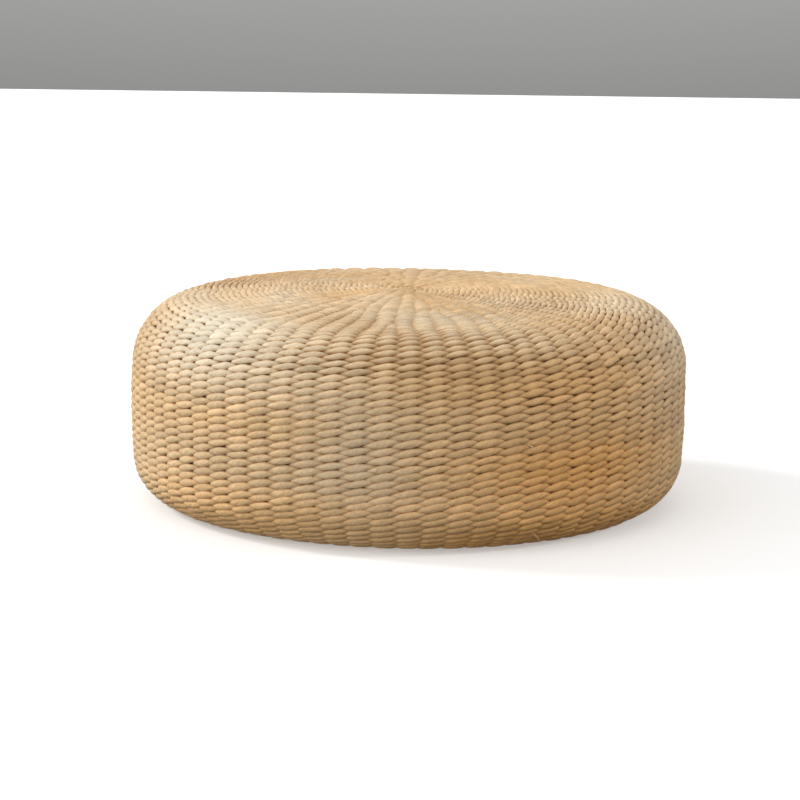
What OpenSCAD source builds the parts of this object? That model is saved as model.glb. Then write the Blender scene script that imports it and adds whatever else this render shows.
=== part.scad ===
// Round floor cushion of twined straw: a foam core inside a woven casing.
// Straw stakes run from a knot at the middle of the top, down the wall and under to a
// closing knot. Two weft strands twist round every stake in turn, row after row.
// +Z is up, and the origin is the middle of the flat base.

/* [Cushion] */
// Widest diameter, at the belly of the wall
seat_d = 550; // [450:10:650]
// Full height, at the middle of the crown
seat_h = 210; // [180:5:240]

/* [Outline] */
// Radius of the slightly domed crown
crown_r = 2700; // [1500:50:3500]
// Radius of the shoulder between the crown and the wall
shoulder_r = 64; // [50:1:70]
// Radius of the gentle bulge of the wall
wall_r = 850; // [600:10:1200]
// Height of the widest level above the floor
belly_z = 110; // [95:1:120]
// Radius of the heel between the wall and the flat base
heel_r = 47; // [40:1:52]

/* [Weave] */
// Distance from one weft row to the next, along the surface of the wall and the base
row_pitch = 7.45; // [6:0.05:9]
// The same distance in the middle of the top, where thinner straw is used
top_pitch = 5.7; // [5:0.1:9]
// Thickness of the weft where it passes outside or inside a stake
weft_t = 5; // [3:0.1:6]
// Depth of the groove between two rows
groove = 1.4; // [0.4:0.1:2.5]
// Gap between the weft, the stakes and the core
slack = 0.2; // [0.15:0.05:0.4]

/* [Stakes] */
// Width of a stake
stake_w = 4.6; // [3:0.1:6]
// Thickness of a stake
stake_t = 3.2; // [2:0.1:4]
// Stakes in the first round, bound into the knots
first_round = 12; // [10:1:14]

/* [Knots] */
// Radius of the starting knot on the crown
crown_knot_r = 14; // [12:0.1:14.5]
// Radius of the closing knot under the base
base_knot_r = 21; // [16:0.5:22]
// How far the closing knot is set in from the base
knot_recess = 1.5; // [1:0.1:3]

/* [Core] */
// Number of glued foam slabs
slabs = 4; // [2:1:6]

/* [Hidden] */
$fn = 96;
belly_r = seat_d / 2;

// Depths below the outer surface
stake_d0 = weft_t + slack;
stake_d1 = stake_d0 + stake_t;
inner_d0 = stake_d1 + slack;
inner_d1 = inner_d0 + weft_t;
core_d = inner_d1 + slack;

// The outline is a chain of tangent arcs; each is [centre r, centre z, radius, from, to]
function meet(c1, r1, c2, r2) =
    let (
        step = c2 - c1,
        span = norm(step),
        along = (r1 * r1 - r2 * r2 + span * span) / (2 * span),
        off = sqrt(max(r1 * r1 - along * along, 0))
    )
    c1 + step * along / span + [step[1], -step[0]] * off / span;

crown_c = [0, seat_h - crown_r];
wall_c = [belly_r - wall_r, belly_z];
shoulder_c = meet(crown_c, crown_r - shoulder_r, wall_c, wall_r - shoulder_r);
heel_c = [wall_c[0] + sqrt(pow(wall_r - heel_r, 2) - pow(belly_z - heel_r, 2)), heel_r];
crown_end = atan2(shoulder_c[1] - crown_c[1], shoulder_c[0] - crown_c[0]);
shoulder_end = atan2(shoulder_c[1] - wall_c[1], shoulder_c[0] - wall_c[0]);
wall_end = atan2(heel_c[1] - wall_c[1], heel_c[0] - wall_c[0]);
ARCS = [
    [crown_c, crown_r, 90, crown_end],
    [shoulder_c, shoulder_r, crown_end, shoulder_end],
    [wall_c, wall_r, shoulder_end, wall_end],
    [heel_c, heel_r, wall_end, -90]
];

function arc_len(a) = a[1] * (a[2] - a[3]) * PI / 180;
CROWN_S = arc_len(ARCS[0]);
SHOULDER_S = CROWN_S + arc_len(ARCS[1]);
WALL_S = SHOULDER_S + arc_len(ARCS[2]);
HEEL_S = WALL_S + arc_len(ARCS[3]);
END_S = HEEL_S + heel_c[0];
STARTS = [0, CROWN_S, SHOULDER_S, WALL_S, HEEL_S];

// The point at arc length s from the middle of the crown and depth d below the surface
function which(s) = s < CROWN_S ? 0 : s < SHOULDER_S ? 1 : s < WALL_S ? 2 : s < HEEL_S ? 3 : 4;
function on_arc(a, t, d) = a[0] + (a[1] - d) * [cos(t), sin(t)];
function at(s, d) =
    let (k = which(s))
    k == 4
        ? [END_S - s, d]
        : on_arc(ARCS[k], ARCS[k][2] - (s - STARTS[k]) / ARCS[k][1] * 180 / PI, d);

// Arc lengths from s0 to s1 at which a smooth band has its corners
STEPS = [7, 10, 5, 11];
BENDS = [for (k = [0:3]) for (i = [1:STEPS[k]])
    STARTS[k] + (STARTS[k + 1] - STARTS[k]) * i / STEPS[k]];
function bends(s0, s1) = concat([s0], [for (s = BENDS) if (s > s0 + 1 && s < s1 - 1) s], [s1]);
function reversed(list) = [for (i = [len(list) - 1:-1:0]) list[i]];

// A band between two depths, with a smooth outer face
module smooth_band(s0, s1, d0, d1) {
    run = bends(s0, s1);
    polygon(concat([for (s = run) at(s, d0)], [for (s = reversed(run)) at(s, d1)]));
}

// A band whose outer face has one rounded ridge for each row of weft
RIDGE = [0, 0.1, 0.25, 0.5, 0.75, 0.9];
function ridge_d(part) = groove * (1 - pow(sin(180 * part), 0.6));
module ridged_band(s0, s1, ridges, d0, d1) {
    step = (s1 - s0) / ridges;
    outer = concat(
        [for (ridge = [0:ridges - 1]) for (part = RIDGE)
            at(s0 + (ridge + part) * step, d0 + ridge_d(part))],
        [at(s1, d0 + groove)]
    );
    inner = [for (ridge = [ridges:-1:0]) at(s0 + ridge * step, d1)];
    polygon(concat(outer, inner));
}

// A run of weft rows: its passes outside the stakes, and its passes inside them
module weft(row0, row1, shade, pitch = row_pitch) {
    s0 = row0 * row_pitch;
    s1 = row1 * row_pitch;
    ridges = round((s1 - s0) / pitch);
    color(shade)
        rotate_extrude() {
            ridged_band(s0, s1, ridges, 0, weft_t);
            ridged_band(s0, s1, ridges, inner_d0, inner_d1);
        }
}

// A run of weft rows pressed flat where the cushion stands on them
module flat_weft(row0, row1, shade) {
    r0 = END_S - row1 * row_pitch;
    r1 = min(END_S - row0 * row_pitch, heel_c[0]);
    color(shade)
        for (depth = [0, inner_d0])
            translate([0, 0, depth])
                difference() {
                    cylinder(h = weft_t, r = r1);
                    translate([0, 0, -1]) cylinder(h = weft_t + 2, r = r0);
                }
}

// Where each run of weft begins and ends, counted in rows of the wall
CENTRE_ROW = 2;
INNER_ROW = 9;
OUTER_ROW = 17;
SHOULDER_ROW = 29;
WALL_ROW = 42;
BELLY_ROW = 48;
HEEL_ROW = 54;
BASE_ROW = ceil(HEEL_S / row_pitch - 0.05);
BASE_INNER_ROW = BASE_ROW + 12;
BASE_CENTRE_ROW = BASE_ROW + 21;
LAST_ROW = BASE_ROW + 27;

straw = "#d9bb8b";
straw_dark = "#c9a674";
straw_pale = "#e6cda0";

module weft_top_centre() { weft(CENTRE_ROW, INNER_ROW, straw, top_pitch); }
module weft_top_inner() { weft(INNER_ROW, OUTER_ROW, straw_dark, top_pitch); }
module weft_top_outer() {
    weft(OUTER_ROW, SHOULDER_ROW, straw, (top_pitch + row_pitch) / 2);
}
module weft_shoulder() { weft(SHOULDER_ROW, WALL_ROW, straw_dark); }
module weft_wall_upper() { weft(WALL_ROW, BELLY_ROW, straw); }
module weft_wall_lower() { weft(BELLY_ROW, HEEL_ROW, straw_dark); }
module weft_heel() { weft(HEEL_ROW, BASE_ROW, straw); }
module weft_base_outer() { flat_weft(BASE_ROW, BASE_INNER_ROW, straw_dark); }
module weft_base_inner() { flat_weft(BASE_INNER_ROW, BASE_CENTRE_ROW, straw); }
module weft_base_centre() { flat_weft(BASE_CENTRE_ROW, LAST_ROW, straw_dark); }

// Stakes of one round: count of them, turned to their own slots, from radius r_top on the
// crown down the wall and under to radius r_base
SLOTS = first_round * 6;
module stakes(slots, r_top, r_base, shade) {
    s0 = crown_r * asin(r_top / crown_r) * PI / 180;
    for (sector = [0:first_round - 1])
        for (slot = slots)
            color(shade)
                rotate([0, 0, (sector * 6 + slot) * 360 / SLOTS])
                    rotate([90, 0, 0])
                        linear_extrude(height = stake_w, center = true)
                            smooth_band(s0, END_S - r_base, stake_d0, stake_d1);
}

// Each round starts where the gaps of the rounds before it have grown wide enough
FIRST_R = 16;
SECOND_R = 30;
THIRD_R = 76;
FOURTH_R = 130;
FIFTH_R = 192;
module stakes_first() { stakes([0], FIRST_R, base_knot_r + 2, straw_dark); }
module stakes_second() { stakes([3], SECOND_R, SECOND_R, straw_pale); }
module stakes_third() { stakes([1, 4], THIRD_R, THIRD_R, straw_dark); }
module stakes_fourth() { stakes([2], FOURTH_R, FOURTH_R, straw_pale); }
module stakes_fifth() { stakes([5], FIFTH_R, FIFTH_R, straw_dark); }

// The starting knot: a low dome over a collar that holds the ends of the first stakes
module crown_knot() {
    depth = core_d - slack;
    color(straw_pale)
        intersection() {
            translate([0, 0, seat_h - depth]) cylinder(h = depth, r = crown_knot_r);
            translate([0, 0, seat_h - 60]) sphere(r = 60);
        }
}

// The closing knot: a button that gathers the trimmed stakes, set in from the floor
module base_knot() {
    color(straw_pale)
        translate([0, 0, knot_recess])
            cylinder(h = core_d - slack - knot_recess, r = base_knot_r);
}

// Foam slabs, stacked from the base up and cut to the inside of the casing
slab_h = (seat_h - 2 * core_d) / slabs;
module slab(number, shade) {
    color(shade)
        rotate_extrude()
            intersection() {
                polygon(concat([[0, seat_h - core_d]],
                    [for (s = bends(2, END_S)) at(s, core_d)]));
                translate([0, core_d + number * slab_h]) square([belly_r, slab_h]);
            }
}
module foam_base() { slab(0, "#f2f1ec"); }
module foam_lower() { slab(1, "#e9e8e2"); }
module foam_upper() { slab(2, "#f2f1ec"); }
module foam_crown() { slab(3, "#e9e8e2"); }

// Two straw ends that lie loose on the weave, where one stalk takes over from another.
// Each runs between two places given as [degrees right of the front, arc length].
STRAW_R = 0.8;
LIFT = 1.8;
function outside(place) =
    let (p = at(place[1], -LIFT))
    [p[0] * sin(place[0]), -p[0] * cos(place[0]), p[1]];
module straw_end(from, to) {
    start = outside(from);
    run = outside(to) - start;
    translate(start)
        rotate([0, acos(run[2] / norm(run)), atan2(run[1], run[0])])
            cylinder(h = norm(run), r1 = STRAW_R, r2 = STRAW_R / 2);
}
module straw_ends() {
    color(straw_pale) {
        straw_end([25.2, HEEL_S - 45], [29.1, HEEL_S - 27]);
        straw_end([23.3, SHOULDER_S + 37], [24.5, SHOULDER_S + 42]);
    }
}

foam_base();
foam_lower();
foam_upper();
foam_crown();
stakes_first();
stakes_second();
stakes_third();
stakes_fourth();
stakes_fifth();
crown_knot();
weft_top_centre();
weft_top_inner();
weft_top_outer();
weft_shoulder();
weft_wall_upper();
weft_wall_lower();
weft_heel();
weft_base_outer();
weft_base_inner();
weft_base_centre();
base_knot();
straw_ends();
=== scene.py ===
import math

import bpy
import numpy as np
from mathutils import Matrix, Vector


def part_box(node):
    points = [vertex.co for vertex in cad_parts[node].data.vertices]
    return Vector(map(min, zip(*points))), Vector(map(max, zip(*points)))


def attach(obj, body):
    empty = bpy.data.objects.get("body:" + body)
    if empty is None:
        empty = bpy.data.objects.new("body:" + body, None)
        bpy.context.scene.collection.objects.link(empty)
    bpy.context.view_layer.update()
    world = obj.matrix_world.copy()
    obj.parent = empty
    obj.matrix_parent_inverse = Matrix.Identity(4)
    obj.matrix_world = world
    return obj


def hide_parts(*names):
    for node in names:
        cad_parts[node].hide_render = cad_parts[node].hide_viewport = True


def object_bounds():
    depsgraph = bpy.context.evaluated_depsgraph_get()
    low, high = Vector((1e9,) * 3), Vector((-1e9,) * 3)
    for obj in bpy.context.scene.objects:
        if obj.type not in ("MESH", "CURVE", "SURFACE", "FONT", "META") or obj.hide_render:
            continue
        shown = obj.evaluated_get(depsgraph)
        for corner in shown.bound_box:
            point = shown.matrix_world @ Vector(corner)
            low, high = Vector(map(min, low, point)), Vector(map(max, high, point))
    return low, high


# A round floor cushion of twined straw. Two weft strands, A and B, run side by side in one
# spiral from the middle of the crown to the middle of the base. At each stake one of them
# passes in front and the other behind, and between stakes they change places.
# Lengths are in metres. "s" is the arc length down the outline from the middle of the crown,
# "depth" is the distance below the outline, and "theta" is the turn to the right of the front.

MM = 0.001
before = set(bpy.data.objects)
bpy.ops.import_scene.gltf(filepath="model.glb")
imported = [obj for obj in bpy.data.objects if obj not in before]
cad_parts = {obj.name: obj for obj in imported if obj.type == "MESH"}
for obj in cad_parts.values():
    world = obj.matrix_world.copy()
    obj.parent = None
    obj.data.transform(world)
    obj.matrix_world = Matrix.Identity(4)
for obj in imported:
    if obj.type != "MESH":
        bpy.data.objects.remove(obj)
cad_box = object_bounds()
rng = np.random.default_rng(72)

# ---------------------------------------------------------------- the outline
TOP = cad_box[1].z
BELLY_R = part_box("weft_wall_upper")[1].x
BELLY_Z = 110 * MM  # the height at which the cushion is widest
CROWN_R = 2700 * MM  # the radii of the outline's four arcs
SHOULDER_R = 64 * MM
WALL_R = 850 * MM
HEEL_R = 47 * MM


class Outline:
    """The side outline as a chain of tangent arcs, then the flat base."""

    def __init__(self):
        crown = np.array([0, TOP - CROWN_R])
        wall = np.array([BELLY_R - WALL_R, BELLY_Z])
        shoulder = self.meet(crown, CROWN_R - SHOULDER_R, wall, WALL_R - SHOULDER_R)
        drop = BELLY_Z - HEEL_R
        heel = np.array([wall[0] + math.sqrt((WALL_R - HEEL_R) ** 2 - drop**2), HEEL_R])
        turns = [
            math.pi / 2,
            math.atan2(*(shoulder - crown)[::-1]),
            math.atan2(*(shoulder - wall)[::-1]),
            math.atan2(*(heel - wall)[::-1]),
            -math.pi / 2,
        ]
        centres = (crown, shoulder, wall, heel)
        radii = (CROWN_R, SHOULDER_R, WALL_R, HEEL_R)
        self.arcs = list(zip(centres, radii, turns[:-1], turns[1:]))
        lengths = [r * (a - b) for _, r, a, b in self.arcs]
        self.starts = np.concatenate([[0], np.cumsum(lengths)])
        self.end = self.starts[-1] + heel[0]

    @staticmethod
    def meet(c1, r1, c2, r2):
        """The point r1 from c1 and r2 from c2, on the side away from the axis."""
        step = c2 - c1
        span = np.hypot(*step)
        along = (r1 * r1 - r2 * r2 + span * span) / (2 * span)
        off = math.sqrt(r1 * r1 - along * along)
        return c1 + step * along / span + np.array([step[1], -step[0]]) * off / span

    def at(self, s, depth):
        """Radius, height, and the outward normal's two parts, at each s and depth."""
        radius = self.end - s
        height = depth + 0 * s
        out_r = 0 * s
        out_z = -1 + 0 * s
        for (centre, r, turn, _), s0, s1 in zip(self.arcs, self.starts, self.starts[1:]):
            here = (s >= s0) & (s < s1)
            angle = turn - (s - s0) / r
            radius = np.where(here, centre[0] + (r - depth) * np.cos(angle), radius)
            height = np.where(here, centre[1] + (r - depth) * np.sin(angle), height)
            out_r = np.where(here, np.cos(angle), out_r)
            out_z = np.where(here, np.sin(angle), out_z)
        return radius, height, out_r, out_z


outline = Outline()
CROWN_S, SHOULDER_S, _, HEEL_S = outline.starts[1:]  # where each of those arcs ends
END_S = outline.end  # the middle of the base


def place(theta, s, depth):
    """Points in space, with the outward and the down-the-outline directions there."""
    radius, height, out_r, out_z = outline.at(s, depth)
    sin, cos = np.sin(theta), -np.cos(theta)
    point = np.stack([radius * sin, radius * cos, height], -1)
    out = np.stack([out_r * sin, out_r * cos, out_z], -1)
    down = np.stack([out_z * sin, out_z * cos, -out_r], -1)
    return point, out, down


# ---------------------------------------------------------------- smooth randomness
class Waves:
    """A smooth random field over theta and s: a few sine waves with random phases.

    It has at most so many waves in a turn, and about so long a wave down the outline.
    """

    COUNT = 10

    def __init__(self, size, turns, length):
        self.size = size
        self.turns = rng.integers(-turns, turns + 1, self.COUNT)
        self.rate = rng.normal(0, 2 * math.pi / length, self.COUNT)
        self.phase = rng.uniform(0, 2 * math.pi, self.COUNT)

    def __call__(self, theta, s):
        total = 0
        for n, k, p in zip(self.turns, self.rate, self.phase):
            total = total + np.sin(n * theta + k * s + p)
        return self.size * total * math.sqrt(2 / self.COUNT)


def drift(steps, every, size):
    """A slow random walk round zero, with one new value every so many steps."""
    knots = rng.normal(0, size, int(steps / every) + 3)
    return np.interp(np.arange(steps) / every, np.arange(len(knots)), knots)


row_wander = Waves(0.65 * MM, 5, 110 * MM)  # rows stray up and down
lumps = Waves(0.7 * MM, 4, 160 * MM)  # and the casing is a little lumpy

# Each spot: theta in degrees, s in mm, how far it reaches in each of them, and its strength
# The age spots are partly painted warm light, most of all the strong ones low on the right front
AGE_AND_WARM_LIGHT_SPOTS = [
    (0, 440, 80, 70, 0.17),
    (34, 395, 21, 70, 0.90),
    (42, 300, 14, 32, 0.35),
    (36, 458, 36, 22, 0.70),
    (-45, 458, 32, 24, 0.35),
    (-130, 170, 40, 50, 0.30),
    (110, 430, 30, 50, 0.40),
    (-150, 400, 40, 60, 0.50),
]
# The sun spots are partly a painted highlight, most of all the strong one high on the left
# shoulder
BLEACH_AND_HIGHLIGHT_SPOTS = [
    (-50, 250, 15, 27, 0.95),
    (-70, 170, 45, 70, 0.25),
    (0, 190, 50, 60, 0.18),
    (-40, 330, 25, 50, 0.16),
    (-10, 350, 8, 42, 0.26),
    (74, 300, 16, 60, 0.35),
    (140, 240, 40, 50, 0.30),
]
blotches = Waves(0.08, 7, 120 * MM)  # added to age and painted warm light, and taken off bleaching and the painted highlight


def spots(theta, s, table):
    """The sum of a few wide soft-edged spots."""
    total = 0
    for at_theta, at_s, wide, tall, strength in table:
        turn = (theta - math.radians(at_theta) + math.pi) % (2 * math.pi) - math.pi
        away = (turn / math.radians(wide)) ** 2 + ((s - at_s * MM) / (tall * MM)) ** 2
        total = total + strength * np.exp(-away / 2)
    return total


def weathering_and_painted_light(theta, s):
    """How aged and how sun-bleached the straw is at each place, each mixed with painted light:
    warm light with the age, a highlight with the bleaching.
    """
    age_and_warm_light = np.clip(spots(theta, s, AGE_AND_WARM_LIGHT_SPOTS) + blotches(theta, s), 0, 1)
    bleach_and_highlight = np.clip(spots(theta, s, BLEACH_AND_HIGHLIGHT_SPOTS) - blotches(theta, s), 0, 1)
    return np.stack([age_and_warm_light, bleach_and_highlight, 0 * s], -1)


# ---------------------------------------------------------------- the stakes
SECTORS = 12
SECTOR_SLOTS = 6
SLOTS = SECTORS * SECTOR_SLOTS
ROUNDS = [  # the node, its slots in each sector, and how far from the centre it starts
    ("stakes_first", [0], 16 * MM),
    ("stakes_second", [3], 30 * MM),
    ("stakes_third", [1, 4], 76 * MM),
    ("stakes_fourth", [2], 130 * MM),
    ("stakes_fifth", [5], 192 * MM),
]
SETTLE = 40 * MM  # the stakes make room for a new round over this distance
start_of = np.zeros(SLOTS)
for _, own, start in ROUNDS:
    for slot in own:
        start_of[slot::SECTOR_SLOTS] = start


def even_angles():
    """For each round, every slot's angle when the stakes so far stand evenly."""
    wanted = np.arange(SLOTS) * 2 * math.pi / SLOTS
    levels = []
    for _, _, start in ROUNDS:
        standing = np.flatnonzero(start_of <= start)
        even = np.arange(len(standing)) * 2 * math.pi / len(standing)
        even += (wanted[standing] - even).mean()
        around = np.arange(-len(standing), 2 * len(standing))
        slots = standing[around % len(standing)] + SLOTS * (around // len(standing))
        angles = even[around % len(standing)] + 2 * math.pi * (around // len(standing))
        levels.append(np.interp(np.arange(SLOTS), slots, angles))
    return np.array(levels)


LEVELS = even_angles()
STARTS = np.array([start for _, _, start in ROUNDS])
SWAY = math.radians(0.26)  # how far a stake strays from its even angle
SWAY_RATES = np.array([1 / 0.30, 1 / 0.17, 1 / 0.09]) * 2 * math.pi  # in three waves
stake_phase = rng.uniform(0, 2 * math.pi, (SLOTS, len(SWAY_RATES)))
stake_sway = rng.normal(0, 1, (SLOTS, len(SWAY_RATES)))


def from_centre(s):
    """How far along the surface it is to the nearer centre, crown or base."""
    return np.minimum(s, END_S - s)


def stake_angle(slot, s):
    """The angle of a stake at s: it eases over as each new round is put in."""
    reach = from_centre(s)
    angle = LEVELS[0][slot]
    for level in range(1, len(ROUNDS)):
        x = np.clip((reach - STARTS[level]) / SETTLE, 0, 1)
        angle = angle + (LEVELS[level][slot] - LEVELS[level - 1][slot]) * x * x * (3 - 2 * x)
    sway = 0
    for k, rate in enumerate(SWAY_RATES):
        sway = sway + stake_sway[slot, k] * np.sin(rate * s + stake_phase[slot, k])
    return angle + SWAY * sway


# ---------------------------------------------------------------- the weft's route
PITCH = 7.45 * MM  # from one row to the next on the wall and the base
TOP_PITCH = 5.7 * MM  # and in the middle of the top, where thinner straw is used
COARSER_S = [CROWN_S - 60 * MM, CROWN_S + 25 * MM]  # where one changes into the other
WEFT_START = 17.9 * MM  # where it comes up from under the crown knot, after one turn
WEFT_SINKS = END_S - 25 * MM  # where it goes in under the base knot, for one more turn
WEFT_END = WEFT_SINKS + PITCH
SPIRAL_STEPS = 64  # in each turn
EARLY = 2 * MM  # the weft takes up a new stake this far before its start


def pitch(s):
    """From one row to the next, at each s."""
    return np.interp(s, COARSER_S, [TOP_PITCH, PITCH])


def spiral():
    """The turns of the spiral from WEFT_START, in small steps, and s at each of them."""
    s = [WEFT_START - TOP_PITCH]
    while s[-1] < WEFT_END + PITCH:
        s.append(s[-1] + pitch(s[-1]) / SPIRAL_STEPS)
    return np.arange(len(s)) / SPIRAL_STEPS - 1, np.array(s)


TURNS, TURN_S = spiral()


def crossings():
    """Every place where the weft passes a stake, in order: slot, unwrapped angle and s."""
    slot, turn, s = 0, -1, WEFT_START
    found = []
    while s < WEFT_END:
        angle = stake_angle(slot, s) + 2 * math.pi * turn
        s = np.interp(angle / (2 * math.pi), TURNS, TURN_S)
        found.append((slot, angle, s))
        while True:  # on to the next stake that reaches this far in
            slot += 1
            if slot == SLOTS:
                slot, turn = 0, turn + 1
            if start_of[slot] <= max(WEFT_START, from_centre(s) + EARLY):
                break
    return np.array(found)


ROUTE = crossings()
COUNT = len(ROUTE)
ROUTE_THETA, ROUTE_S = ROUTE[:, 1], ROUTE[:, 2]
SPACING = np.gradient(ROUTE_THETA) * outline.at(ROUTE_S, 0 * ROUTE_S)[0]


# ---------------------------------------------------------------- meshes
def piece(name, points, quads, tris, attributes, material):
    """A smooth mesh object from arrays, with its named point attributes."""
    mesh = bpy.data.meshes.new(name)
    corners = np.concatenate([quads.ravel(), tris.ravel()]).astype(np.int32)
    starts = np.concatenate(
        [np.arange(len(quads)) * 4, len(quads) * 4 + np.arange(len(tris)) * 3]
    ).astype(np.int32)
    mesh.vertices.add(len(points))
    mesh.loops.add(len(corners))
    mesh.polygons.add(len(starts))
    mesh.vertices.foreach_set("co", points.astype(np.float32).ravel())
    mesh.loops.foreach_set("vertex_index", corners)
    mesh.polygons.foreach_set("loop_start", starts)
    mesh.update(calc_edges=True)
    mesh.polygons.foreach_set("use_smooth", np.ones(len(starts), bool))
    for label, values in attributes.items():
        kind = "FLOAT_VECTOR" if values.ndim == 2 else "FLOAT"
        layer = mesh.attributes.new(label, kind, "POINT")
        field = "vector" if values.ndim == 2 else "value"
        layer.data.foreach_set(field, values.astype(np.float32).ravel())
    mesh.validate()
    mesh.materials.append(material)
    obj = bpy.data.objects.new(name, mesh)
    bpy.context.scene.collection.objects.link(obj)
    return obj


def skin(count, sides):
    """The faces of a closed tube: quads between its rings, triangles to its two end points."""
    side = np.arange(sides)
    after = (side + 1) % sides
    ring = np.arange(count - 1)[:, None] * sides
    quads = np.stack([ring + side, ring + after, ring + sides + after, ring + sides + side], -1)
    first, last = count * sides, count * sides + 1
    back = (count - 1) * sides
    tris = np.concatenate(
        [
            np.stack([np.full(sides, first), after, side], -1),
            np.stack([np.full(sides, last), back + side, back + after], -1),
        ]
    )
    return quads.reshape(-1, 4), tris


def tube(centre, wide, out, half_wide, half_thick, sides, square=1.0):
    """A closed tube with oval sections, as points, quads, end triangles and section angles."""
    turn = np.arange(sides) * 2 * math.pi / sides
    across = np.sign(np.cos(turn)) * np.abs(np.cos(turn)) ** square
    outward = np.sign(np.sin(turn)) * np.abs(np.sin(turn)) ** square
    rings = (
        centre[:, None]
        + wide[:, None] * (half_wide[:, None] * across)[..., None]
        + out[:, None] * (half_thick[:, None] * outward)[..., None]
    )
    points = np.concatenate([rings.reshape(-1, 3), centre[[0, -1]]])
    return points, *skin(len(centre), sides), turn


def spun(values, sides):
    """One value per ring, repeated for the ring's points and the two end points."""
    return np.concatenate([np.repeat(values, sides, axis=0), values[[0, -1]]])


def unit(vectors):
    """The same directions with a length of 1."""
    return vectors / np.linalg.norm(vectors, axis=1)[:, None]


def frames(centre, down):
    """Section axes of a strand: across it (as near down as it allows) and outward."""
    along = unit(np.gradient(centre, axis=0))
    wide = unit(down - along * (down * along).sum(1)[:, None])
    return wide, np.cross(wide, along)


def length_along(centre):
    """How far along a strand each of its rings is."""
    return np.concatenate([[0], np.cumsum(np.linalg.norm(np.diff(centre, axis=0), axis=1))])


def fibre(length, sides, turn, twist):
    """Coordinates for the fibre texture: along the strand, and round it on a circle."""
    angle = turn[None] + twist * length[:, None]
    grid = np.stack([np.repeat(length[:, None], sides, 1), np.cos(angle), np.sin(angle)], -1)
    ends = np.stack([length[[0, -1]], [0, 0], [0, 0]], -1)
    return np.concatenate([grid.reshape(-1, 3), ends])


class Batch:
    """Gathers several closed parts into the arrays of one mesh."""

    def __init__(self):
        self.points, self.quads, self.tris = [], [], []
        self.attributes = {}
        self.size = 0

    def add(self, points, quads, tris, **attributes):
        self.points.append(points)
        self.quads.append(quads + self.size)
        self.tris.append(tris + self.size)
        self.size += len(points)
        for label, values in attributes.items():
            self.attributes.setdefault(label, []).append(values)

    def build(self, name, material):
        joined = {k: np.concatenate(v) for k, v in self.attributes.items()}
        return piece(
            name,
            np.concatenate(self.points),
            np.concatenate(self.quads),
            np.concatenate(self.tris),
            joined,
            material,
        )


def lathe(radius, height, sides=96):
    """A closed turned solid from an outline that starts and ends on the axis."""
    turn = np.arange(sides) * 2 * math.pi / sides
    radius, height = np.array(radius), np.array(height)
    rings = np.stack(
        [
            radius[1:-1, None] * np.cos(turn),
            radius[1:-1, None] * np.sin(turn),
            np.repeat(height[1:-1, None], sides, 1),
        ],
        -1,
    )
    poles = np.array([[0, 0, height[0]], [0, 0, height[-1]]])
    return np.concatenate([rings.reshape(-1, 3), poles]), *skin(len(rings), sides)


# ---------------------------------------------------------------- materials
def node(tree, kind, **sockets):
    """A shader node with these constants on its sockets."""
    made = tree.nodes.new(kind)
    for key, value in sockets.items():
        made.inputs[key].default_value = value
    return made


def attribute(tree, name):
    """A point attribute of the mesh."""
    made = tree.nodes.new("ShaderNodeAttribute")
    made.attribute_name = name
    return made


def mapped(tree, vector, scale):
    """Texture coordinates stretched along each axis."""
    made = node(tree, "ShaderNodeMapping", Scale=scale)
    tree.links.new(vector, made.inputs["Vector"])
    return made.outputs["Vector"]


def noise(tree, vector, scale, detail, rough):
    """Soft noise between 0 and 1."""
    made = node(tree, "ShaderNodeTexNoise", Scale=scale, Detail=detail, Roughness=rough)
    tree.links.new(vector, made.inputs["Vector"])
    return made.outputs["Fac"]


def ranged(tree, value, low, high, to_low, to_high):
    """A value moved from one range to another, and held inside it."""
    limits = {"From Min": low, "From Max": high, "To Min": to_low, "To Max": to_high}
    made = node(tree, "ShaderNodeMapRange", **limits)
    tree.links.new(value, made.inputs["Value"])
    return made.outputs["Result"]


def maths(tree, operation, first, second):
    """Two values, each a socket or a number, put together."""
    made = tree.nodes.new("ShaderNodeMath")
    made.operation = operation
    for slot, value in enumerate((first, second)):
        if isinstance(value, (int, float)):
            made.inputs[slot].default_value = value
        else:
            tree.links.new(value, made.inputs[slot])
    return made.outputs["Value"]


def blend_colour(tree, factor, first, second, mode="MIX"):
    """The first colour blended with the second. Each is a socket or a constant."""
    made = tree.nodes.new("ShaderNodeMix")
    made.data_type = "RGBA"
    made.blend_type = mode
    if isinstance(factor, (int, float)):
        made.inputs["Factor"].default_value = factor
    else:
        tree.links.new(factor, made.inputs["Factor"])
    for key, value in (("A", first), ("B", second)):
        socket = [i for i in made.inputs if i.name == key and i.type == "RGBA"][0]
        if isinstance(value, tuple):
            socket.default_value = (*value, 1)
        else:
            tree.links.new(value, socket)
    return [o for o in made.outputs if o.type == "RGBA"][0]


def new_material(name):
    """An empty material, with its node tree and its main shader."""
    material = bpy.data.materials.new(name)
    material.use_nodes = True
    tree = material.node_tree
    return material, tree, tree.nodes["Principled BSDF"]


AGED_AND_WARM_LIT = (1.04, 0.80, 0.49)  # what age and painted warm light do to the colour of straw
BLEACHED_AND_HIGHLIT = (0.93, 0.86, 0.70)  # straw that the sun has bleached, mixed with a painted highlight
# Pale, warm and greenish straw, and the brown painted shade in its hollows: outside, and under
# the weft, where all four are darker as painted shade
OUTER_STRAW = (0.91, 0.65, 0.375), (0.83, 0.55, 0.29), (0.79, 0.545, 0.255), (0.51, 0.295, 0.12)
SHADED_INNER_STRAW = (0.62, 0.47, 0.29), (0.56, 0.38, 0.21), (0.54, 0.41, 0.21), (0.30, 0.17, 0.08)


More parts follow.
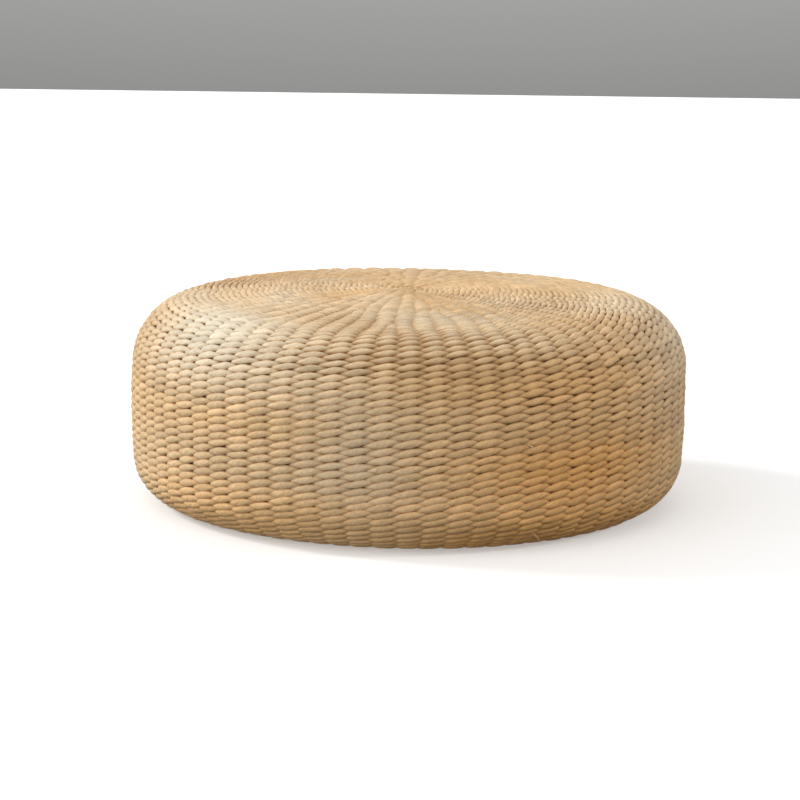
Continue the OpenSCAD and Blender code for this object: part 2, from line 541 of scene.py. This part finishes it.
def straw_material(name, colours, lift=1.0):
    """Dry straw: lengthwise fibres, stalks that differ in colour, brown painted shade in the
    hollows, and weathering mixed with painted warm light and a painted highlight.
    """
    pale, warm, green, shade_brown = colours
    material, tree, shader = new_material(name)
    fibres = attribute(tree, "fibre").outputs["Vector"]
    tint = tree.nodes.new("ShaderNodeSeparateXYZ")
    tree.links.new(attribute(tree, "tint").outputs["Vector"], tint.inputs[0])
    hollow = attribute(tree, "hollow").outputs["Fac"]
    weathering_and_painted_light = tree.nodes.new("ShaderNodeSeparateXYZ")
    tree.links.new(attribute(tree, "weathering_and_painted_light").outputs["Vector"], weathering_and_painted_light.inputs[0])
    streaks = noise(tree, mapped(tree, fibres, (60, 1, 1)), 5.5, 4, 0.62)  # single fibres
    ribs = noise(tree, mapped(tree, fibres, (22, 1, 1)), 2.6, 2, 0.5)  # folds of the leaf
    patches = noise(tree, mapped(tree, fibres, (120, 0.6, 0.6)), 1.3, 2, 0.5)  # paler lengths
    colour = blend_colour(tree, tint.outputs["X"], warm, green)
    colour = blend_colour(tree, ranged(tree, patches, 0.35, 0.7, 0, 0.7), colour, pale)
    bright = maths(tree, "MULTIPLY", tint.outputs["Y"], tint.outputs["Z"])
    bright = maths(tree, "MULTIPLY", bright, ranged(tree, streaks, 0.3, 0.7, 0.80, 1.16))
    bright = maths(tree, "MULTIPLY", bright, ranged(tree, ribs, 0.3, 0.7, 0.93, 1.06))
    # A lift below 1 is painted shade, for straw that lies under the weft
    bright = maths(tree, "MULTIPLY", bright, lift)
    grey = tree.nodes.new("ShaderNodeCombineColor")
    for channel in ("Red", "Green", "Blue"):
        tree.links.new(bright, grey.inputs[channel])
    # Bleaching mixed with a painted highlight, then ageing mixed with painted warm light
    colour = blend_colour(tree, weathering_and_painted_light.outputs["Y"], colour, BLEACHED_AND_HIGHLIT)
    colour = blend_colour(tree, 1.0, colour, grey.outputs["Color"], "MULTIPLY")
    colour = blend_colour(tree, weathering_and_painted_light.outputs["X"], colour, AGED_AND_WARM_LIT, "MULTIPLY")
    # Painted shade: straw that lies deeper below the outline is painted browner
    colour = blend_colour(tree, hollow, colour, shade_brown)
    tree.links.new(colour, shader.inputs["Base Color"])
    rough = ranged(tree, streaks, 0.3, 0.7, 0.66, 0.5)
    tree.links.new(rough, shader.inputs["Roughness"])
    shader.inputs["Specular IOR Level"].default_value = 0.35
    shader.inputs["Sheen Weight"].default_value = 0.08
    shader.inputs["Sheen Roughness"].default_value = 0.5
    height = maths(tree, "ADD", maths(tree, "MULTIPLY", ribs, 1.6), streaks)
    bump = node(tree, "ShaderNodeBump", Strength=0.75, Distance=0.45 * MM)
    tree.links.new(height, bump.inputs["Height"])
    tree.links.new(bump.outputs["Normal"], shader.inputs["Normal"])
    return material


def foam_material():
    """White closed-cell foam: a fine skin of small beads."""
    material, tree, shader = new_material("closed_cell_foam")
    where = tree.nodes.new("ShaderNodeTexCoord").outputs["Object"]
    cells = node(tree, "ShaderNodeTexVoronoi", Scale=420.0)
    tree.links.new(where, cells.inputs["Vector"])
    clouds = noise(tree, where, 14.0, 3, 0.5)
    colour = blend_colour(
        tree, ranged(tree, clouds, 0.3, 0.7, 0, 1), (0.86, 0.85, 0.80), (0.80, 0.79, 0.74)
    )
    tree.links.new(colour, shader.inputs["Base Color"])
    shader.inputs["Roughness"].default_value = 0.7
    bump = node(tree, "ShaderNodeBump", Strength=0.4, Distance=0.4 * MM)
    tree.links.new(cells.outputs["Distance"], bump.inputs["Height"])
    tree.links.new(bump.outputs["Normal"], shader.inputs["Normal"])
    return material


WEFT_STRAW = straw_material("weft_straw", OUTER_STRAW)
# The stakes get a darker copy of the straw and a lift of 0.9: painted shade, as they lie under
# the weft
SHADED_STAKE_STRAW = straw_material("shaded_stake_straw", SHADED_INNER_STRAW, 0.9)
KNOT_STRAW = straw_material("knot_straw", OUTER_STRAW)
FOAM = foam_material()

# ---------------------------------------------------------------- the weft
SEGMENTS = 8  # from one stake to the next
SIDES = 12
DIP = 8.4 * MM  # from a strand's outer face in front of a stake to the same face behind it
STAY = (1.5, 2.0)  # above 1, a strand stays near the surface for longer: crown, wall
LAG = 0.1  # a strand comes up late and goes down late, by this angle
HALF_WIDE = (2.75 * MM, 4.2 * MM)  # half width between stakes, and at a stake
HALF_THICK = (3.1 * MM, 2.7 * MM)  # half thickness between stakes, and at a stake
SQUARE = 0.88  # below 1, the strands' sections are fuller than an oval
HOLLOW_SHADE_START = 1.3 * MM  # how far down the painted shade begins to turn the straw brown
HOLLOW_SHADE_REACH = (2.6 * MM, 5.4 * MM)  # and over what depth it does so: crown, wall
PART = 1.85 * MM  # how far the two strands stand apart where they change places
OPEN = (0.15, 0.11)  # how far rows open up over the shoulder: between stakes, at a stake
TWIST = -120.0  # turn of the fibres along a strand, in radians per metre
FIBRE_STEP = 13.7 * MM  # the fibres' pattern moves on by this at each stake
FIBRE_APART = 3.7  # and the second strand's pattern starts this far along it
KNOT_SINK = 5 * MM  # how far the weft's first and last turns go in under the knots
NEAR_SPACING = 12 * MM  # below this spacing of the stakes, the twining gets shallower
SHALLOWEST = 0.66
FADE = 60 * MM  # unevenness fades out over this distance towards a centre or the base
# Where the rows begin to open, are fully open, begin to close again, and are as on the wall
BEND_S = [CROWN_S - 130 * MM, CROWN_S + 20 * MM, SHOULDER_S - 20 * MM, SHOULDER_S + 30 * MM]


def stalk_hue():
    """From 0, warm, to 1, greenish. Most stalks are nearer to warm."""
    return rng.beta(1.3, 1.9)


def stalks(count):
    """For each crossing of one strand: hue, brightness and thickness of its stalk."""
    hue, bright, thick = np.zeros(count), np.zeros(count), np.zeros(count)
    at = 0
    while at < count:
        run = int(rng.integers(9, 26))
        hue[at:at + run] = stalk_hue()
        bright[at:at + run] = rng.normal(1.0, 0.055)
        thick[at:at + run] = rng.normal(1.0, 0.045)
        at += run
    return hue, bright, thick


def between(ends, share):
    """A value part of the way from the first end to the second."""
    return ends[0] + (ends[1] - ends[0]) * share


class Strand:
    """One of the two weft strands, with its own stalks and unevenness."""

    def __init__(self, phase):
        self.phase = phase
        self.hue, self.bright, stalk_thick = stalks(COUNT)
        self.grain = rng.normal(1.0, 0.05, COUNT)  # brightness from one stake to the next
        self.shift = rng.normal(0, 0.26 * MM, COUNT) + drift(COUNT, 7, 0.25 * MM)  # downward
        self.lift = rng.normal(0, 0.15 * MM, COUNT) + drift(COUNT, 11, 0.15 * MM)  # inward
        self.lag = rng.normal(LAG, 0.09, COUNT)
        self.fat = stalk_thick * rng.normal(1.0, 0.055, COUNT)

    def part(self, first, last):
        """The tube of this strand between two crossings."""
        c = np.arange(first * SEGMENTS, last * SEGMENTS + 1) / SEGMENTS

        def here(values):
            return np.interp(c, np.arange(COUNT), values)

        theta, s = here(ROUTE_THETA), here(ROUTE_S)
        finer = pitch(s) / PITCH
        shallow = np.clip(here(SPACING) / NEAR_SPACING, SHALLOWEST, 1)
        psi = math.pi * (c + self.phase)
        turned = psi - here(self.lag)
        at_stake = np.cos(turned) ** 2
        fat = here(self.fat)
        opened = between(OPEN, at_stake) * np.interp(s, BEND_S, [0, 1, 1, 0])
        wide = between(HALF_WIDE, at_stake) * fat * (1 - opened) * finer
        thick = between(HALF_THICK, at_stake) * fat * shallow

        aside = np.abs((turned / math.pi + 1) % 2 - 1)  # 0 in front of a stake, 1 behind one
        stay = np.interp(s, BEND_S[1:3], STAY)
        face = DIP * np.sin(math.pi / 2 * aside**stay) ** 2 * shallow
        under = np.clip(np.maximum(WEFT_START - s, s - WEFT_SINKS) / PITCH, 0, 1)
        depth = face + thick + here(self.lift) + KNOT_SINK * under
        depth = depth + lumps(theta, s) * np.clip((HEEL_S - s) / FADE, 0, 1)
        row = s - (PART * np.sin(psi) - here(self.shift)) * finer
        row = row + row_wander(theta, s) * np.clip(from_centre(s) / FADE, 0, 1)
        centre, _, down = place(theta, row, depth)
        across, out = frames(centre, down)
        points, quads, tris, turn = tube(centre, across, out, wide, thick, SIDES, SQUARE)
        points[:, 2] = np.maximum(points[:, 2], 0)  # nothing goes through the floor

        length = length_along(centre) + first * FIBRE_STEP + self.phase * FIBRE_APART
        tint = np.stack([here(self.hue), here(self.bright), here(self.grain)], -1)
        # Painted shade: the deeper a point lies below the outline, the browner it is painted
        outward = np.sin(turn)[None] * thick[:, None]
        below = np.concatenate([(depth[:, None] - outward).ravel(), depth[[0, -1]]])
        reach = np.interp(s, BEND_S[2:], HOLLOW_SHADE_REACH)
        return points, quads, tris, {
            "fibre": fibre(length, SIDES, turn, TWIST),
            "tint": spun(tint, SIDES),
            "hollow": np.clip((below - HOLLOW_SHADE_START) / spun(reach, SIDES), 0, 1),
            # age and bleaching, mixed with painted warm light and a painted highlight
            "weathering_and_painted_light": spun(weathering_and_painted_light(theta, s), SIDES),
        }


ZONES = [  # the node, and where its rows begin, counted in rows of the wall
    ("weft_top_centre", 2),
    ("weft_top_inner", 9),
    ("weft_top_outer", 17),
    ("weft_shoulder", 29),
    ("weft_wall_upper", 42),
    ("weft_wall_lower", 48),
    ("weft_heel", 54),
    ("weft_base_outer", 64),
    ("weft_base_inner", 76),
    ("weft_base_centre", 85),
]
strands = {"a": Strand(0), "b": Strand(1)}
edges = [0]
for _, row in ZONES[1:]:
    edges.append(int(np.searchsorted(ROUTE_S, row * PITCH + PITCH / 2)))
edges.append(COUNT - 1)

for (zone, _), first, last in zip(ZONES, edges, edges[1:]):
    for label, strand in strands.items():
        points, quads, tris, attributes = strand.part(first, last)
        run = piece(f"{zone}_{label}", points, quads, tris, attributes, WEFT_STRAW)
        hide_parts(zone)
        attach(run, "root")

# ---------------------------------------------------------------- the stakes
CASING = 13.6 * MM  # thickness of the woven casing, with the stakes in the middle of it
STAKE_HALF_WIDE = 2.4 * MM
STAKE_HALF_THICK = 1.55 * MM
STAKE_STOP = 22 * MM  # no stake comes nearer than this to the middle of the base
STAKE_SIDES = 8
STAKE_RINGS = 110
STAKE_TWIST = 30.0  # turn of the fibres along a stake, in radians per metre
STAKE_HOLLOW_SHADE = 0.35  # stakes lie deep in the weave, so they get a little painted brown shade all over
FIBRE_GAP = 0.61  # from one stake's stretch of the fibres' pattern to the next one's


def stake(slot, start):
    """One stake, from its start on the crown to the same distance from the base's centre."""
    s = np.linspace(start, END_S - max(start, STAKE_STOP), STAKE_RINGS)
    theta = stake_angle(slot, s)
    depth = CASING / 2 * np.clip(from_centre(s) / FADE, 0.62, 1)
    depth = depth + lumps(theta, s) * np.clip((HEEL_S - s) / FADE, 0, 1)
    centre, out, _ = place(theta, s, depth)
    wide = unit(np.cross(unit(np.gradient(centre, axis=0)), out))
    uneven = 1 + drift(len(s), 6, 0.06)
    points, quads, tris, turn = tube(
        centre, wide, out, STAKE_HALF_WIDE * uneven, STAKE_HALF_THICK * uneven, STAKE_SIDES
    )
    tint = np.tile([stalk_hue(), rng.normal(1, 0.07), 1.0], (len(s), 1))
    return points, quads, tris, {
        "fibre": fibre(s + slot * FIBRE_GAP, STAKE_SIDES, turn, STAKE_TWIST),
        "tint": spun(tint, STAKE_SIDES),
        # painted shade over the whole stake
        "hollow": np.full(len(points), STAKE_HOLLOW_SHADE),
    }


for node_name, own, start in ROUNDS:
    batch = Batch()
    for sector in range(SECTORS):
        for slot in own:
            points, quads, tris, attributes = stake(sector * SECTOR_SLOTS + slot, start)
            batch.add(points, quads, tris, **attributes)
    group = batch.build(f"{node_name}_straw", SHADED_STAKE_STRAW)
    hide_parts(node_name)
    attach(group, "root")

# ---------------------------------------------------------------- the two knots
ROPE_SIDES = 8
ROPE_STEPS = 64  # in each turn of a coil
ROPE_TWIST = -500.0  # turn of the fibres along a ply, in radians per metre
PLY_OFF = 0.92  # from the rope's middle to the middle of a ply, in plies' radii


def rope_coil(batch, inner, outer, pitch, ply, lay, height_at, up):
    """A flat coil of two-ply straw rope. Lay is the length of one twist of the plies."""
    turns = (outer - inner) / pitch
    t = np.linspace(0, 1, int(turns * ROPE_STEPS) + 1)
    angle = 2 * math.pi * turns * t
    radius = inner + (outer - inner) * t
    length = np.concatenate(
        [[0], np.cumsum(np.hypot(np.diff(radius), radius[1:] * np.diff(angle)))]
    )
    outwards = np.stack([np.sin(angle), -np.cos(angle), 0 * angle], -1)
    above = np.array([0, 0, up]) + 0 * outwards
    middle = outwards * radius[:, None]
    middle[:, 2] = height_at(radius)
    tapered = ply * np.clip((1 - t) * turns * 3 + 0.35, 0, 1)  # over the last part of a turn
    for half in (0, math.pi):
        twist = 2 * math.pi * length / lay + half
        offset = outwards * np.cos(twist)[:, None] + above * np.sin(twist)[:, None]
        centre = middle + ply * PLY_OFF * offset
        wide, out = frames(centre, outwards)
        points, quads, tris, turn = tube(centre, wide, out, tapered, tapered, ROPE_SIDES)
        tint = np.tile([stalk_hue(), rng.normal(1.0, 0.04), 1.0], (len(t), 1))
        batch.add(
            points, quads, tris,
            fibre=fibre(length + half, ROPE_SIDES, turn, ROPE_TWIST),
            tint=spun(tint, ROPE_SIDES),
            hollow=np.zeros(len(points)),
        )


def knot(name, radius, base_z, face_z, up, **rope):
    """A coiled button of rope on a plug that holds the ends of the stakes."""
    batch = Batch()
    bevel = 1.2 * MM
    low, high = sorted((base_z, face_z))
    points, quads, tris = lathe(
        [0, radius - bevel, radius, radius, radius - bevel, 0],
        [low, low, low + bevel, high - bevel, high, high],
        48,
    )
    # The plug under the rope is painted dark and brown: painted shade
    batch.add(
        points, quads, tris,
        fibre=points * 20.0,
        tint=np.tile([0.5, 0.8, 1.0], (len(points), 1)),
        hollow=np.full(len(points), 0.8),
    )
    rope_coil(batch, outer=radius - rope["ply"] * 1.9, up=up, **rope)
    button = batch.build(f"{name}_coil", KNOT_STRAW)
    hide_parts(name)
    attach(button, "root")


# The middle of the crown knot's rope is 2.4 mm down, and 1.2 mm more at its rim
CROWN_ROPE_DOWN = 2.4 * MM
CROWN_RIM_DROP = 1.2 * MM
CROWN_RIM_R = 14 * MM
BASE_PLY = 1.5 * MM
crown_low, crown_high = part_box("crown_knot")
knot(
    "crown_knot", crown_high.x, crown_low.z, TOP - 4.6 * MM, 1,
    inner=1.2 * MM, pitch=4.3 * MM, ply=1.15 * MM, lay=9 * MM,
    height_at=lambda radius: TOP - CROWN_ROPE_DOWN - (radius / CROWN_RIM_R) ** 2 * CROWN_RIM_DROP,
)
base_low, base_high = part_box("base_knot")
knot(
    "base_knot", base_high.x, base_high.z, base_low.z + 3.6 * MM, -1,
    inner=1.6 * MM, pitch=5.6 * MM, ply=BASE_PLY, lay=11 * MM,
    height_at=lambda radius: base_low.z + 2 * BASE_PLY + 0 * radius,
)

# ---------------------------------------------------------------- loose straw ends
# Each end: where it leaves the weave and where it stops (theta in degrees and s), how far
# its tip stands off, and half its width.
LOOSE_ENDS = [
    ((25.2, HEEL_S - 45 * MM), (29.1, HEEL_S - 27 * MM), 2.6 * MM, 0.95 * MM),
    ((23.3, SHOULDER_S + 37 * MM), (24.5, SHOULDER_S + 42 * MM), 2.0 * MM, 0.7 * MM),
    ((23.4, SHOULDER_S + 42 * MM), (24.2, SHOULDER_S + 37.5 * MM), 1.6 * MM, 0.6 * MM),
]
ROOT_DEPTH = 1.2 * MM  # how deep in the weave an end begins
BOW = 0.35  # how far an end bows sideways, in degrees
FLATNESS = 0.45  # its thickness over its width
END_SIDES = 8
batch = Batch()
for (theta0, s0), (theta1, s1), stand, half_wide in LOOSE_ENDS:
    t = np.linspace(0, 1, 18)
    theta = np.radians(theta0 + (theta1 - theta0) * t + BOW * np.sin(math.pi * t))
    s = s0 + (s1 - s0) * t
    depth = ROOT_DEPTH - (stand + ROOT_DEPTH) * np.sin(t * math.pi / 2)
    centre, _, down = place(theta, s, depth)
    across, normal = frames(centre, down)
    narrow = half_wide * (1 - 0.7 * t**2)
    points, quads, tris, turn = tube(
        centre, across, normal, narrow, narrow * FLATNESS, END_SIDES
    )
    batch.add(
        points, quads, tris,
        fibre=fibre(length_along(centre), END_SIDES, turn, 40.0),
        tint=spun(np.tile([0.35, 1.18, 1.0], (len(t), 1)), END_SIDES),
        hollow=np.zeros(len(points)),
    )
loose = batch.build("straw_ends_loose", WEFT_STRAW)
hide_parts("straw_ends")
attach(loose, "root")

# ---------------------------------------------------------------- the foam core
CORE_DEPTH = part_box("foam_base")[0].z  # the same all round as under the lowest slab
CORE_BEVEL = 1.5 * MM  # on each slab's edges
core_s = np.linspace(0, END_S, 400)
core_r, core_z, _, _ = outline.at(core_s, CORE_DEPTH)
for name in ("foam_base", "foam_lower", "foam_upper", "foam_crown"):
    low, high = (corner.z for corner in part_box(name))
    levels = np.linspace(low + CORE_BEVEL, high - CORE_BEVEL, 14)
    around = np.interp(-levels, -core_z[core_r > 0], core_r[core_r > 0])
    radius = np.concatenate([[0, around[0] - CORE_BEVEL], around, [around[-1] - CORE_BEVEL, 0]])
    height = np.concatenate([[low, low], levels, [high, high]])
    slab = piece(f"{name}_slab", *lathe(radius, height), {}, FOAM)
    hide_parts(name)
    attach(slab, "root")

# ---------------------------------------------------------------- camera, light and floor
# The camera looks down at 10.5 degrees from 2.6 m away, and is rolled by under a degree.
ELEVATION = math.radians(10.5)
DISTANCE = 2.61
LENS = 117.6  # in mm, on a sensor 36 mm wide
ROLL = math.radians(0.72)
AIM = Vector((-8.0 * MM, 0, TOP / 2 - 8.8 * MM))
camera = bpy.data.objects.new("camera", bpy.data.cameras.new("camera"))
bpy.context.scene.collection.objects.link(camera)
back = Vector((0, -math.cos(ELEVATION), math.sin(ELEVATION)))
camera.location = AIM + back * DISTANCE
look = (-back).to_track_quat("-Z", "Y").to_matrix().to_4x4()
camera.matrix_world = Matrix.Translation(camera.location) @ look @ Matrix.Rotation(ROLL, 4, "Z")
camera.data.lens = LENS
camera.data.sensor_width = 36
bpy.context.scene.camera = camera


def toward(azimuth, elevation):
    """The direction of a light, with azimuth from the front towards the right, in degrees."""
    turn, rise = math.radians(azimuth), math.radians(elevation)
    level = math.cos(rise)
    return Vector((math.sin(turn) * level, -math.cos(turn) * level, math.sin(rise)))


SKY = 0.29  # even light from above the horizon
BOUNCE = 0.06  # and from below it
PANELS = [  # wide soft panels: azimuth, elevation and strength
    (-90, 12, 0.55),
    (-40, 22, 1.28),
    (90, 12, 0.18),
    (180, 30, 0.45),
]
PANEL_TIGHTNESS = 4.0  # how fast a panel fades away from its middle
HORIZON = 0.08  # half the height of the band where the sky's light meets the bounce


def studio_world():
    """Soft white studio light: an even sky and a few wide panels that fade at their edges."""
    world = bpy.data.worlds.new("studio")
    bpy.context.scene.world = world
    world.use_nodes = True
    tree = world.node_tree
    direction = tree.nodes.new("ShaderNodeTexCoord").outputs["Generated"]
    parts = tree.nodes.new("ShaderNodeSeparateXYZ")
    tree.links.new(direction, parts.inputs[0])
    total = ranged(tree, parts.outputs["Z"], -HORIZON, HORIZON, BOUNCE, SKY)
    for azimuth, elevation, strength in PANELS:
        facing = tree.nodes.new("ShaderNodeVectorMath")
        facing.operation = "DOT_PRODUCT"
        tree.links.new(direction, facing.inputs[0])
        facing.inputs[1].default_value = toward(azimuth, elevation)
        ahead = maths(tree, "MAXIMUM", facing.outputs["Value"], 0.0)
        lobe = maths(tree, "POWER", ahead, PANEL_TIGHTNESS)
        total = maths(tree, "ADD", total, maths(tree, "MULTIPLY", lobe, strength))
    background = tree.nodes["Background"]
    background.inputs["Color"].default_value = (1.0, 0.995, 0.985, 1)
    tree.links.new(total, background.inputs["Strength"])


def softbox(name, azimuth, elevation, strength, spread):
    """A large far-off lamp that casts soft shadows. Spread is how wide it looks, in degrees."""
    light = bpy.data.lights.new(name, "SUN")
    light.energy = strength
    light.angle = math.radians(spread)
    light.color = (1.0, 0.99, 0.97)
    lamp = bpy.data.objects.new(name, light)
    lamp.rotation_euler = (-toward(azimuth, elevation)).to_track_quat("-Z", "Y").to_euler()
    bpy.context.scene.collection.objects.link(lamp)


studio_world()
softbox("key", -108, 32, 1.27, 12)
softbox("fill", 85, 28, 0.72, 10)
bpy.context.scene.view_settings.view_transform = "Standard"

HALF = 6.0  # of the floor's width
floor_mesh = bpy.data.meshes.new("floor")
floor_mesh.from_pydata(
    [(-HALF, -HALF, 0), (HALF, -HALF, 0), (HALF, HALF, 0), (-HALF, HALF, 0)], [], [(0, 1, 2, 3)]
)
floor = bpy.data.objects.new("floor", floor_mesh)
bpy.context.scene.collection.objects.link(floor)
floor_material, _, floor_shader = new_material("floor")
floor_shader.inputs["Base Color"].default_value = (0.95, 0.95, 0.95, 1)
floor_shader.inputs["Roughness"].default_value = 0.9
floor_shader.inputs["Emission Color"].default_value = (1, 1, 1, 1)
floor_shader.inputs["Emission Strength"].default_value = 0.33
floor_mesh.materials.append(floor_material)
for rays in ("visible_diffuse", "visible_glossy", "visible_shadow"):
    setattr(floor, rays, False)
